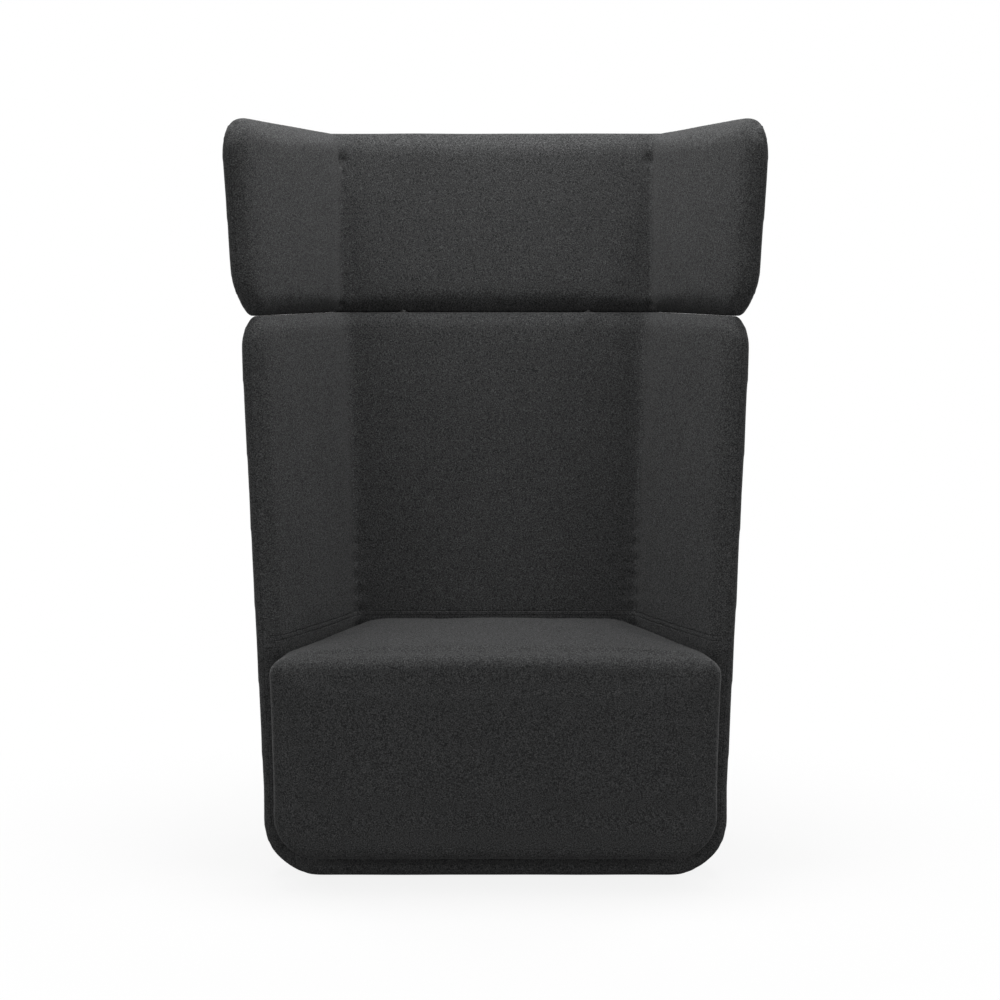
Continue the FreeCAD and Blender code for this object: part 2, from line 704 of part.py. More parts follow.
head_seam = block("head_seam", HEAD, "Dims.rim_seam", BEYOND, "Dims.rim_seam", below(HEAD), above(HEAD))
head_boards = block("head_boards", HEAD, "Dims.outer_pad", "Dims.rim_seam", "Dims.outer_pad",
                    HEAD_BOARD_LOW, HEAD_BOARD_HIGH)
round_front_corners(head_boards, "Dims.head_top_corner - Dims.rim_seam",
                    "Dims.head_low_corner - Dims.rim_seam")
head_core = block("head_core", HEAD, BOARD_IN, BEYOND, BEYOND, below(HEAD), above(HEAD))
head_before_board = before_back("head_before_board", HEAD, BOARD_IN)
head_cavity = block("head_cavity", HEAD, WING_WALL, BEYOND, BACK_WALL, below(HEAD), above(HEAD))
head_before_wrap = before_back("head_before_wrap", HEAD, "Dims.back_wrap")
head_before_pad = before_back("head_before_pad", HEAD, BACK_WALL)

head_wing_blank = cut("head_wing_blank", common("head_wings", head_boards, head_before_board), head_core)
head_back_blank = cut("head_back_blank", head_boards, head_before_board)
head_outer = cut("head_outer", head_form, head_seam, head_wing_blank, head_back_blank)
head_inner = cut("head_inner", common("head_inner_block", head_form, head_seam),
                 head_cavity, head_wing_blank, head_back_blank)

head_wing = common("head_wing", head_wing_blank, right_half("head_board_right"))
pair("head_wing_board", cut("head_wing_board", head_wing, head_screws))
node("head_back_board", cut("head_back_board", head_back_blank, head_screws, sleeve_screws))
node("head_board_screws", head_screws)
head_outer_right = right_half("head_outer_right")
pair("head_outer_wing", common("head_outer_wing", head_outer, head_before_wrap, head_outer_right))
node("head_outer_back", cut("head_outer_back", head_outer, head_before_wrap))
head_wing_pad = common("head_wing_pad", head_inner, head_before_pad, right_half("head_inner_right"))
head_wing_pad = softened("head_inner_wing", head_wing_pad, lambda a, b: is_rim(a) and faces_middle(b))
pair("head_inner_wing", head_wing_pad)


def is_head_end(face):
    """The top and bottom of the headrest, without the ledges round its boards."""
    return abs(outward(face).z) > 0.4 and (face.CenterOfMass.z - HEAD_MIDDLE) * outward(face).z > 0


head_back_pad = softened("head_back_pad", cut("head_back_plain", head_inner, head_before_pad),
                         lambda a, b: is_head_end(a) and outward(b).y < -0.9, "Dims.back_roll")
node("head_inner_back", cut("head_inner_back", head_back_pad, head_channel))
node("headrest_sleeves", group("headrest_sleeves", sleeve_list))
node("sleeve_clamps", sleeve_clamps)
node("sleeve_clamp_screws", sleeve_screws)
node("sleeve_bezels", group("sleeve_bezels", head_bezels))


# The seat block: a padded cover over a foam block on woven webbing, in a plywood box with a bent tray
SEAT_BACK = f"({BACK_WALL} + Dims.seat_clearance)"
SEAT_FRONT = "(Dims.chair_front - Dims.seat_reach)"
WING_INSIDE = size("outer_pad") + size("board") + size("wing_pad")
SEAT_BOTTOM = size("glide_height") + WING_INSIDE + size("seat_lift")
CORNER_LEVEL = SEAT_BOTTOM + size("seat_corner")
SHOULDER_LEVEL = size("seat_top") - size("seat_shoulder")
NOSE_FRONT = size("chair_front") - size("seat_reach")
SPLAY, FLARE, LEAN, RECLINE = (math.radians(size(name)) for name in
                               ("chair_splay", "chair_flare", "chair_lean", "recline"))


def wing_x(inset, y, z):
    """Half width between the chair's wings at an inset from their outer faces."""
    return (size("chair_half") + z * math.tan(FLARE) / math.cos(SPLAY)
            - (y - size("chair_front")) * math.tan(SPLAY) - inset / (math.cos(SPLAY) * math.cos(FLARE)))


def mouth_y(z):
    """Depth of the wings' front edges at a height."""
    return size("chair_front") + z * math.tan(LEAN)


def rear_y(z):
    """Depth of the chair's outer back at a height."""
    return size("back_foot") + z * math.tan(RECLINE)


def between(value, low, high):
    """Linear value at a point between two (place, value) pairs."""
    share = (value - low[0]) / (high[0] - low[0])
    return low[1] + share * (high[1] - low[1])


def seat_half(y, z, margin):
    """Half width of the seat: close to the wings between them, easing out to its own width in front."""
    mouth = mouth_y(z)
    inside = wing_x(WING_INSIDE + size("seat_clearance"), max(y, mouth), z)
    if y >= mouth:
        return inside
    front_half = wing_x(0, size("chair_front"), z) - margin
    return between(y, (NOSE_FRONT + size("seat_nose"), front_half), (mouth, inside))


def seat_fall(y):
    """How far the seat's top has dropped below its front edge at a depth."""
    return between(y, (NOSE_FRONT, 0), (size("back_foot"), size("seat_fall")))


def seat_section(y, inset, nose_inset=0):
    """One outline across the seat: flat below, round lower corners, drawn-in sides and a crowned top."""
    inset = inset + nose_inset
    station = max(y, NOSE_FRONT + size("seat_nose"))
    fall = seat_fall(station)
    low_half = seat_half(station, CORNER_LEVEL, size("seat_margin_low")) - inset
    top_half = seat_half(station, SHOULDER_LEVEL - fall, size("seat_margin_top")) - inset
    corner = size("seat_corner") - inset
    shoulder = max(size("seat_shoulder") - inset, size("least_round"))
    low = SEAT_BOTTOM + inset
    top = size("seat_top") - fall - inset
    crown = top + size("seat_crown")
    slant = math.sin(math.pi / 4)

    def at(x, z):
        return V(x, y, z)

    side_middle = ((low_half + top_half) / 2 - size("seat_draw"), (low + corner + top - shoulder) / 2)
    right = [
        ((low_half - corner, low), (low_half - corner + corner * slant, low + corner - corner * slant),
         (low_half, low + corner)),
        ((low_half, low + corner), side_middle, (top_half, top - shoulder)),
        ((top_half, top - shoulder),
         (top_half - shoulder + shoulder * slant, top - shoulder + shoulder * slant),
         (top_half - shoulder, top)),
    ]
    edges = [Part.LineSegment(at(corner - low_half, low), at(low_half - corner, low)).toShape()]
    edges += [Part.Arc(*[at(x, z) for x, z in arc]).toShape() for arc in right]
    edges.append(Part.Arc(at(top_half - shoulder, top), at(0, crown), at(shoulder - top_half, top)).toShape())
    edges += [Part.Arc(*[at(-x, z) for x, z in reversed(arc)]).toShape() for arc in reversed(right)]
    return Part.Wire(edges)


def seat_form(name, inset):
    """The seat block at an inset from its outer face, with a rounded nose, run past the back plane."""
    nose = max(size("seat_nose") - inset, size("least_round"))
    front = NOSE_FRONT + inset
    nose_steps = 3
    sections = []
    for step in range(nose_steps + 1):
        turn = math.pi / 2 * step / nose_steps
        sections.append(seat_section(front + nose * (1 - math.cos(turn)), inset, nose * (1 - math.sin(turn))))
    for level in (CORNER_LEVEL, SHOULDER_LEVEL):
        sections.append(seat_section(mouth_y(level), inset))
    sections.append(seat_section(rear_y(size("seat_top")), inset))
    item = doc.addObject("Part::Feature", name)
    item.Shape = Part.makeLoft(sections, True, True)
    return item


def seat_space(name, *layers):
    """The seat's form inside some of its layers, ended as far in from the back pad."""
    form = seat_form(f"{name}_form", sum(size(layer) for layer in layers))
    inset = " + ".join([SEAT_BACK] + [f"Dims.{layer}" for layer in layers])
    return common(name, form, before_back(f"{name}_end", CHAIR, inset, AHEAD))


seat_outer = seat_space("seat_outer")
seat_inner = seat_space("seat_inner", "seat_cover")
seat_well = seat_space("seat_well", "seat_cover", "seat_rail")
OPENING_FRONT = f"{BOLT_FRONT} - Dims.opening_edge"
OPENING_REAR = f"{BOLT_REAR} + Dims.opening_edge"
opening = box("seat_opening", ("-Dims.seat_opening", OPENING_FRONT, "0"),
              ("Dims.seat_opening", OPENING_REAR, SEAT_TRAY))
RAIL_FRONT = f"{SEAT_FRONT} + Dims.seat_cover + Dims.seat_rail"
DECK = "Dims.seat_deck"
DECK_TOP = "(Dims.seat_deck + 2 * Dims.webbing)"
FLANK = f"({SEAT_LOW} + Dims.seat_corner)"
seat_box = cut("seat_box", seat_inner, seat_well)
before_rail = before_back("before_rail", CHAIR, f"({SEAT_BACK} + Dims.seat_cover + Dims.seat_rail)", AHEAD)
front_space = box("front_space", (f"-{FAR}", f"-{FAR}", "0"), (FAR, RAIL_FRONT, DECK))
side_space = box("side_space", ("0", RAIL_FRONT, FLANK), (FAR, FAR, "Dims.seat_deck + Dims.webbing"))
tray_space = box("tray_space", (f"-{FAR}", RAIL_FRONT, "0"), (FAR, FAR, FLANK))

node("seat_cover", cut("seat_cover", seat_outer, seat_inner, opening))
node("seat_front_board", common("seat_front_board", seat_box, front_space))
node("seat_back_board", common("seat_back_board", cut("seat_rear", seat_box, before_rail),
                               band("rear_band", "0", DECK)))
seat_between = common("seat_between", seat_box, before_rail)
pair("seat_side_board", common("seat_side_board", seat_between, side_space))
seat_tray = common("seat_tray_blank", seat_between, tray_space)
node("seat_tray", cut("seat_tray", seat_tray, bolt_drill, nut_drill))


def straps(name, spots, lengthwise, level):
    """Flat straps across the seat box, cut to its outline."""
    items = []
    ends = (f"-{FAR}", FAR)
    for i, spot in enumerate(spots):
        edges = (f"({spot}) - Dims.webbing_width / 2", f"({spot}) + Dims.webbing_width / 2")
        across, along = (edges, ends) if lengthwise else (ends, edges)
        items.append(box(f"{name}_{i}", (across[0], along[0], level),
                         (across[1], along[1], f"{level} + Dims.webbing")))
    return common(name, group(f"{name}_bands", items), seat_inner)


STRAP_MIDDLE = f"({SEAT_FRONT} + Dims.back_foot) / 2"
lengthwise_spots = [f"{k} * Dims.strap_pitch" for k in (-1.5, -0.5, 0.5, 1.5)]
crosswise_spots = [f"{STRAP_MIDDLE} + {k} * Dims.strap_pitch" for k in (-1, 0, 1)]
node("webbing_lengthwise", straps("webbing_lengthwise", lengthwise_spots, True, DECK))
node("webbing_crosswise", straps("webbing_crosswise", crosswise_spots, False, f"({DECK} + Dims.webbing)"))
node("seat_foam", common("seat_foam", seat_inner, band("foam_band", DECK_TOP, TALL)))
cloth_box = box("cloth_box", ("-Dims.seat_opening", OPENING_FRONT, f"{SEAT_TRAY} - Dims.cloth"),
                ("Dims.seat_opening", OPENING_REAR, SEAT_TRAY))
node("seat_bottom_cloth", cut("seat_bottom_cloth", cloth_box, spacer_drill))
node("seat_spacers", group("seat_spacers", spacers))
node("seat_bolts", group("seat_bolts", bolts))
node("tee_nuts", group("tee_nuts", nuts))

doc.recompute()
for item in doc.Objects:
    if "Invalid" in item.State or "Error" in item.State:
        raise RuntimeError(f"{item.Name} did not build")
for item in NODES:
    if item.Shape.isNull() or not item.Shape.isValid():
        raise RuntimeError(f"{item.Label} has no sound shape")

os.makedirs("parts", exist_ok=True)
for item in NODES:
    item.Shape.exportStep(f"parts/{item.Label}.step")
    print(f"{item.Label}: {len(item.Shape.Solids)} solids, {item.Shape.Volume / 1000:.0f} cm3")
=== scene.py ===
import json
import math

import bmesh
import bpy
import numpy as np
from mathutils import Matrix, Vector
from mathutils.bvhtree import BVHTree


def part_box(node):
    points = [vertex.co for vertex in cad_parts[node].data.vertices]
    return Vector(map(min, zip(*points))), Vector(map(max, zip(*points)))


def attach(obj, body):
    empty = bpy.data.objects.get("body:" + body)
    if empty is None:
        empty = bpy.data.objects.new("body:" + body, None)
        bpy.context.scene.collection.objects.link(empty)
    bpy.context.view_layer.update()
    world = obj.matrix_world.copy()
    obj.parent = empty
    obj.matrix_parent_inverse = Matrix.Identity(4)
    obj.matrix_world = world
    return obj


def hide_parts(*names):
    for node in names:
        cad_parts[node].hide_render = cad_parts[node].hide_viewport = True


# A high back lounge chair in dark melange felt, dressed over its frame. Metres, +Z up, +Y to the rear.

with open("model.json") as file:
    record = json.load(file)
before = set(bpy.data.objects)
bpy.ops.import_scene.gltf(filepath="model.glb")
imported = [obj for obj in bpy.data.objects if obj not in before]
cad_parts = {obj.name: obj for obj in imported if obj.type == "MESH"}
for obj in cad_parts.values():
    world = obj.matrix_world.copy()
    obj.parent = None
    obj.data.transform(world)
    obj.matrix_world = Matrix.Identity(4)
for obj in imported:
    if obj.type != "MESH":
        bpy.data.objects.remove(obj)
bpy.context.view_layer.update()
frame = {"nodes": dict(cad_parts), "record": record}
scene = bpy.context.scene

# The planes of the two forms, as the frame was drawn
SPLAY = math.radians(16.4)
RECLINE = math.radians(11)
RIM_SEAM = 0.019
WING_WALL = 0.044
BACK_WALL = 0.058
BACK_FOOT = 0.120
CHAIR_TOP = 1.017
CHAIR = {"half": 0.4224, "level": 0.0, "front": -0.315,
         "flare": math.radians(5.28), "lean": math.radians(8)}
HEAD_OVERHANG = 0.0113
HEAD_GAP = 0.0005


def side_at(form, y, z):
    """Half width between a form's side planes at one place."""
    reach = form["half"] + (z - form["level"]) * math.tan(form["flare"]) / math.cos(SPLAY)
    return reach - (y - form["front"]) * math.tan(SPLAY)


def side_gap(form, points):
    """How far points lie inside a form's side planes."""
    x, y, z = points.T
    inside = side_at(form, y, z) - abs(x)
    return inside * math.cos(SPLAY) * math.cos(form["flare"])


def front_gap(form, points):
    """How far points lie behind a form's front plane."""
    plane = form["front"] + (points[:, 2] - form["level"]) * math.tan(form["lean"])
    return (points[:, 1] - plane) * math.cos(form["lean"])


def back_gap(points):
    """How far points lie in front of the reclined back plane."""
    return (BACK_FOOT + points[:, 2] * math.tan(RECLINE) - points[:, 1]) * math.cos(RECLINE)


HEAD_LOW = CHAIR_TOP + HEAD_GAP
HEAD_FRONT = CHAIR["front"] + HEAD_LOW * math.tan(CHAIR["lean"])
HEAD_TOP = 1.384
HEAD = {"half": side_at(CHAIR, HEAD_FRONT, HEAD_LOW) + HEAD_OVERHANG, "level": HEAD_LOW,
        "front": HEAD_FRONT, "flare": math.radians(3.8), "lean": math.radians(1.5)}


# Shader expressions

class Value:
    """A shader socket that can be written in sums, products and comparisons."""

    def __init__(self, paint, socket):
        self.paint = paint
        self.socket = socket

    def math(self, operation, *others):
        values = dict(enumerate((self, *others)))
        return self.paint.node("ShaderNodeMath", {"operation": operation}, values)

    def __add__(self, other):
        return self.math("ADD", other)

    def __sub__(self, other):
        return self.math("SUBTRACT", other)

    def __rsub__(self, other):
        return self.paint.value(other).math("SUBTRACT", self)

    def __mul__(self, other):
        return self.math("MULTIPLY", other)

    __radd__ = __add__
    __rmul__ = __mul__

    def clamped(self, low, high):
        """The value moved and stretched so that low becomes 0 and high becomes 1, and held there."""
        return self.paint.node("ShaderNodeMapRange", {}, {"Value": self, "From Min": low, "From Max": high})


class Paint:
    """One material and its nodes."""

    def __init__(self, name):
        self.material = bpy.data.materials.new(name)
        self.material.use_nodes = True
        self.tree = self.material.node_tree
        self.tree.nodes.clear()

    def node(self, kind, settings=None, values=None, output=0):
        """Any node: its settings first, then the values or links of its sockets. Gives one output."""
        made = self.tree.nodes.new(kind)
        for name, value in (settings or {}).items():
            setattr(made, name, value)
        for name, value in (values or {}).items():
            if isinstance(value, Value):
                self.tree.links.new(value.socket, made.inputs[name])
            else:
                made.inputs[name].default_value = value
        return Value(self, made.outputs[output])

    def value(self, number):
        """A plain number as a socket."""
        made = self.node("ShaderNodeValue")
        made.socket.default_value = number
        return made

    def place(self):
        """Where a point is on the piece, in metres."""
        return self.node("ShaderNodeTexCoord", output="Object")

    def noise(self, where, scale, detail=2.0, roughness=0.5, distortion=0.0):
        return self.node("ShaderNodeTexNoise", {}, {"Vector": where, "Scale": scale, "Detail": detail,
                                                    "Roughness": roughness, "Distortion": distortion})

    def stretched(self, where, scale):
        return self.node("ShaderNodeVectorMath", {"operation": "MULTIPLY"}, {0: where, 1: scale})

    def mixed(self, share, first, second):
        """Two colours by a share."""
        return self.node("ShaderNodeMix", {"data_type": "RGBA"}, {"Factor": share, "A": first, "B": second},
                         "Result")

    def bump(self, height, distance, strength=1.0):
        return self.node("ShaderNodeBump", {}, {"Height": height, "Distance": distance, "Strength": strength})

    def surface(self, **sockets):
        """Ends the material in one Principled shader."""
        named = {}
        for name, value in sockets.items():
            named[name.replace("_", " ").title().replace("Ior", "IOR")] = value
        shader = self.node("ShaderNodeBsdfPrincipled", {}, named, "BSDF")
        self.node_output(shader)
        return self.material

    def node_output(self, shader):
        made = self.tree.nodes.new("ShaderNodeOutputMaterial")
        self.tree.links.new(shader.socket, made.inputs["Surface"])


def grey(level, warmth=0.0):
    """A linear grey, a little warm or cool."""
    return (level * (1 + warmth), level, level * (1 - warmth), 1.0)


# Materials

FELT_DARK = 0.023
FELT_BODY = 0.047
FELT_LIGHT = 0.125


def felt():
    """Milled wool felt: dark body fibre, light and dark specks, soft clouds, and a short nap."""
    paint = Paint("melange_felt")
    where = paint.stretched(paint.place(), (1.0, 0.5, 1.0))
    cloud = paint.noise(where, 9.0, 3.0)
    mottle = paint.noise(where, 260.0, 3.0, 0.6)
    speck = paint.noise(where, 520.0, 2.0, 0.65)
    fibre = paint.noise(paint.stretched(where, (1.0, 1.0, 0.45)), 1100.0, 1.0, 0.5, 1.5)
    light = (speck * 0.75 + fibre * 0.25).clamped(0.52, 0.66)
    dark = (speck * 0.4 + mottle * 0.6).clamped(0.51, 0.40)
    body = paint.mixed(dark, grey(FELT_BODY, -0.012), grey(FELT_DARK, -0.015))
    colour = paint.mixed(light * 0.8, body, grey(FELT_LIGHT, -0.005))
    shade = 0.93 + 0.14 * cloud
    clouded = paint.node("ShaderNodeCombineColor", {}, {"Red": shade, "Green": shade, "Blue": shade})
    toned = paint.node("ShaderNodeMix", {"data_type": "RGBA", "blend_type": "MULTIPLY"},
                       {"Factor": 1.0, "A": colour, "B": clouded}, "Result")
    nap = speck * 0.5 + fibre * 0.3 + mottle * 0.6
    return paint.surface(base_color=toned, roughness=0.95, specular_ior_level=0.04, sheen_weight=0.03,
                         sheen_roughness=0.45, normal=paint.bump(nap, 0.0012, 0.55))


def thread():
    """Twisted sewing thread, a shade off the felt."""
    paint = Paint("sewing_thread")
    twist = paint.noise(paint.stretched(paint.place(), (1.0, 1.0, 3.0)), 2200.0, 1.0)
    colour = paint.mixed(twist, grey(0.02), grey(0.055))
    return paint.surface(base_color=colour, roughness=0.6, sheen_weight=0.2, normal=paint.bump(twist, 0.0003))


def plywood():
    """Birch plywood: long pale grain on the faces, with flecks and slight colour from sheet to sheet."""
    paint = Paint("birch_plywood")
    where = paint.place()
    grain = paint.noise(paint.stretched(where, (1.0, 1.0, 0.06)), 160.0, 5.0, 0.6, 0.6)
    fleck = paint.noise(paint.stretched(where, (1.0, 1.0, 0.12)), 520.0, 2.0)
    tint = paint.noise(where, 4.0, 2.0)
    pale = paint.mixed(tint, (0.66, 0.50, 0.32, 1), (0.58, 0.42, 0.25, 1))
    figure = grain.clamped(0.42, 0.72) * 0.7 + fleck.clamped(0.6, 0.8) * 0.3
    colour = paint.mixed(figure, pale, (0.38, 0.25, 0.13, 1))
    return paint.surface(base_color=colour, roughness=0.62 + 0.12 * grain, normal=paint.bump(grain, 0.0004))


def moulded(name, level, grain_scale=900.0, roughness=0.5):
    """Moulded plastic or rubber with a fine spark-eroded grain."""
    paint = Paint(name)
    where = paint.place()
    texture = paint.noise(where, grain_scale, 2.0)
    wear = paint.noise(where, 35.0, 3.0)
    colour = paint.mixed(wear.clamped(0.45, 0.7), grey(level), grey(level * 1.6 + 0.004))
    return paint.surface(base_color=colour, roughness=roughness + 0.15 * wear,
                         normal=paint.bump(texture, 0.0002))


def steel(name, level, warmth, roughness, streaks):
    """Drawn or plated steel: fine lines along its length and dull patches."""
    paint = Paint(name)
    where = paint.place()
    lines = paint.noise(paint.stretched(where, streaks), 900.0, 2.0)
    patch = paint.noise(where, 60.0, 3.0)
    colour = paint.mixed(patch, grey(level, warmth), grey(level * 0.8, warmth))
    return paint.surface(base_color=colour, metallic=1.0, roughness=roughness + 0.14 * patch,
                         normal=paint.bump(lines, 0.00008))


def woven(name, level, pitch, gauge):
    """Narrow woven strap or cloth: two sets of threads that pass over and under."""
    paint = Paint(name)
    where = paint.place()
    across = paint.node("ShaderNodeTexWave", {"bands_direction": "X"},
                        {"Vector": where, "Scale": pitch, "Distortion": 0.3, "Detail": 1.0}, "Fac")
    along = paint.node("ShaderNodeTexWave", {"bands_direction": "Y"},
                       {"Vector": where, "Scale": pitch, "Distortion": 0.3, "Detail": 1.0}, "Fac")
    weave = across * along
    colour = paint.mixed(weave, grey(level * 0.6), grey(level * 1.3))
    return paint.surface(base_color=colour, roughness=0.85, sheen_weight=0.2, normal=paint.bump(weave, gauge))


def foam_skin():
    """Open-cell foam."""
    paint = Paint("cushion_foam")
    cells = paint.node("ShaderNodeTexVoronoi", {}, {"Vector": paint.place(), "Scale": 700.0}, "Distance")
    colour = paint.mixed(cells.clamped(0.1, 0.7), (0.55, 0.52, 0.42, 1), (0.80, 0.78, 0.70, 1))
    return paint.surface(base_color=colour, roughness=0.95, normal=paint.bump(cells, 0.0006))


# Meshes

def put_in_scene(name, mesh):
    """An object for a mesh, linked into the scene."""
    piece = bpy.data.objects.new(name, mesh)
    scene.collection.objects.link(piece)
    return piece


def read_points(mesh, what="vertices", field="co"):
    """A mesh's points, or another triple of each vertex, as rows."""
    items = getattr(mesh, what)
    points = np.zeros(len(items) * 3)
    items.foreach_get(field, points)
    return points.reshape(-1, 3)


def write_points(mesh, points):
    """Puts rows of points back into a mesh."""
    mesh.vertices.foreach_set("co", np.ascontiguousarray(points).ravel())
    mesh.update()


def joined_nodes(name, nodes, filled=()):
    """One object from the frame's meshes of some nodes; the filled ones go in as their convex hulls."""
    whole = bmesh.new()
    for node in nodes:
        whole.from_mesh(frame["nodes"][node].data)
    for node in filled:
        solid = bmesh.new()
        solid.from_mesh(frame["nodes"][node].data)
        skin = bmesh.ops.convex_hull(solid, input=solid.verts, use_existing_faces=False)
        kept = {item for item in skin["geom"] if isinstance(item, bmesh.types.BMFace)}
        bmesh.ops.delete(solid, geom=[face for face in solid.faces if face not in kept], context="FACES")
        part = bpy.data.meshes.new(node)
        solid.to_mesh(part)
        solid.free()
        whole.from_mesh(part)
        bpy.data.meshes.remove(part)
    mesh = bpy.data.meshes.new(name)
    whole.to_mesh(mesh)
    whole.free()
    return put_in_scene(name, mesh)


def settled(piece):
    """Replaces a piece's mesh by the mesh that its modifiers give."""
    bpy.context.view_layer.update()
    mesh = bpy.data.meshes.new_from_object(piece.evaluated_get(bpy.context.evaluated_depsgraph_get()))
    piece.modifiers.clear()
    piece.data = mesh
    return piece


def outer_skin_only(piece):
    """Deletes every closed skin but the largest, such as the walls of hollows inside."""
    whole = bmesh.new()
    whole.from_mesh(piece.data)
    left = set(whole.verts)
    skins = []
    while left:
        front = [left.pop()]
        skin = list(front)
        while front:
            vert = front.pop()
            for edge in vert.link_edges:
                other = edge.other_vert(vert)
                if other in left:
                    left.remove(other)
                    front.append(other)
                    skin.append(other)
        skins.append(skin)
    skins.sort(key=len)
    for skin in skins[:-1]:
        bmesh.ops.delete(whole, geom=skin, context="VERTS")
    whole.to_mesh(piece.data)
    whole.free()


def even_skin(piece, voxel):
    """Even quads over the outside of a piece, brought back onto the surfaces it was made from."""
    source = piece.copy()
    source.data = piece.data.copy()
    scene.collection.objects.link(source)
    remesh = piece.modifiers.new("even_quads", "REMESH")
    remesh.mode = "VOXEL"
    remesh.voxel_size = voxel
    settled(piece)
    outer_skin_only(piece)
    snug = piece.modifiers.new("snug", "SHRINKWRAP")
    snug.target = source
    snug.wrap_method = "NEAREST_SURFACEPOINT"
    settled(piece)
    bpy.data.objects.remove(source)
    return piece


def relax(piece, turns, weight=None):
    """Moves points towards the middle of their neighbours, as far as each point's weight says."""
    mesh = piece.data
    points = read_points(mesh)
    ends = np.zeros(len(mesh.edges) * 2, dtype=np.int32)
    mesh.edges.foreach_get("vertices", ends)
    first, second = ends.reshape(-1, 2).T
    count = len(points)
    share = np.full(count, 0.5) if weight is None else weight(points)
    degree = np.bincount(first, minlength=count) + np.bincount(second, minlength=count)
    for _ in range(turns):
        total = np.empty_like(points)
        for axis in range(3):
            total[:, axis] = np.bincount(first, points[second, axis], count)
            total[:, axis] += np.bincount(second, points[first, axis], count)
        points += share[:, None] * (total / degree[:, None] - points)
    write_points(mesh, points)


def push(piece, height):
    """Moves points along their normals, by what a function of place and normal says."""
    points = read_points(piece.data)
    normals = read_points(piece.data, "vertices", "normal")
    write_points(piece.data, points + normals * height(points, normals)[:, None])


def finer(piece):
    """One level of smooth subdivision."""
    level = piece.modifiers.new("finer", "SUBSURF")
    level.levels = level.render_levels = 1
    return settled(piece)


def plumped(piece, cap, pressure=4.0, frames=20):
    """Presses a cover outwards from inside, each point no further than its cap."""
    rest = read_points(piece.data)
    allowed = cap(rest)
    cloth = piece.modifiers.new("stuffing", "CLOTH")
    cloth.settings.quality = 4
    cloth.settings.use_pressure = True
    cloth.settings.uniform_pressure_force = pressure
    cloth.settings.tension_stiffness = 20
    cloth.settings.compression_stiffness = 20
    cloth.settings.bending_stiffness = 2
    cloth.settings.effector_weights.gravity = 0
    cloth.point_cache.frame_end = frames
    for step in range(1, frames + 1):
        scene.frame_set(step)
    settled(piece)
    scene.frame_set(1)
    moved = read_points(piece.data) - rest
    length = np.maximum(np.linalg.norm(moved, axis=1), 1e-9)
    write_points(piece.data, rest + moved * np.minimum(1, allowed / length)[:, None])


def sewn(piece, height, tilt, chosen, width=0.0013, depth=0.0015):
    """Sews a fine sunk seam where height crosses zero, on the chosen faces. tilt is the way height grows."""
    whole = bmesh.new()
    whole.from_mesh(piece.data)
    middle = []
    for offset in (-width, width, 0.0):
        faces = list(whole.faces)
        centres = np.array([face.calc_center_median() for face in faces])
        picked = (abs(height(centres)) < 0.009) & chosen(centres)
        strip = [face for face, keep in zip(faces, picked) if keep]
        if not strip:
            continue
        start = strip[0].verts[0].co.copy()
        start -= Vector(tilt) * (height(np.array([start[:]]))[0] - offset)
        edges = {edge for face in strip for edge in face.edges}
        verts = {vert for face in strip for vert in face.verts}
        done = bmesh.ops.bisect_plane(whole, geom=[*verts, *edges, *strip], dist=1e-6,
                                      plane_co=start, plane_no=tilt)
        if offset == 0.0:
            middle = [item for item in done["geom_cut"] if isinstance(item, bmesh.types.BMVert)]
    whole.normal_update()
    moves = [(vert, vert.normal.copy()) for vert in middle]
    for vert, normal in moves:
        vert.co -= normal * depth
    whole.to_mesh(piece.data)
    whole.free()


def hollowed(piece, cutters):
    """Cuts closed shapes out of a piece."""
    for cutter in cutters:
        cut = piece.modifiers.new("hollow", "BOOLEAN")
        cut.operation = "DIFFERENCE"
        cut.solver = "MANIFOLD"
        cut.object = cutter
        settled(piece)
        bpy.data.objects.remove(cutter)


def rod_cutter(centre, direction, radius, reach, sides=40):
    """A closed round bar to cut with."""
    mesh = bpy.data.meshes.new("rod_cutter")
    shape = bmesh.new()
    turn = Vector(direction).to_track_quat("Z", "Y").to_matrix().to_4x4()
    bmesh.ops.create_cone(shape, cap_ends=True, segments=sides, radius1=radius, radius2=radius,
                          depth=2 * reach, matrix=Matrix.Translation(centre) @ turn)
    shape.to_mesh(mesh)
    shape.free()
    return put_in_scene("rod_cutter", mesh)


def box_cutter(low, high):
    """A closed box to cut with."""
    mesh = bpy.data.meshes.new("box_cutter")
    shape = bmesh.new()
    size = Vector(high) - Vector(low)
    middle = (Vector(high) + Vector(low)) / 2
    bmesh.ops.create_cube(shape, size=1, matrix=Matrix.Translation(middle) @ Matrix.Diagonal((*size, 1)))
    shape.to_mesh(mesh)
    shape.free()
    return put_in_scene("box_cutter", mesh)


def dress(piece, body, material, fill, *nodes):
    """Gives a felt piece its material and body, and lets it stand for its nodes."""
    piece.data.materials.clear()
    piece.data.materials.append(material)
    piece.data.polygons.foreach_set("use_smooth", np.ones(len(piece.data.polygons), bool))
    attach(piece, body)
    if nodes:
        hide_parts(*nodes)


def bell(distance, reach):
    """1 at no distance, falling softly to 0 past the reach."""
    return np.exp(-(distance / reach) ** 2)


def waves(points, scale, seed):
    """A slow unevenness between about -1 and 1, the same every run."""
    rng = np.random.default_rng(seed)
    total = np.zeros(len(points))
    for _ in range(7):
        direction = rng.normal(size=3)
        direction *= scale * rng.uniform(0.6, 1.5) / np.linalg.norm(direction)
        total += np.sin(points @ direction + rng.uniform(0, 2 * math.pi))
    return total / 3.5


felt_cloth = felt()

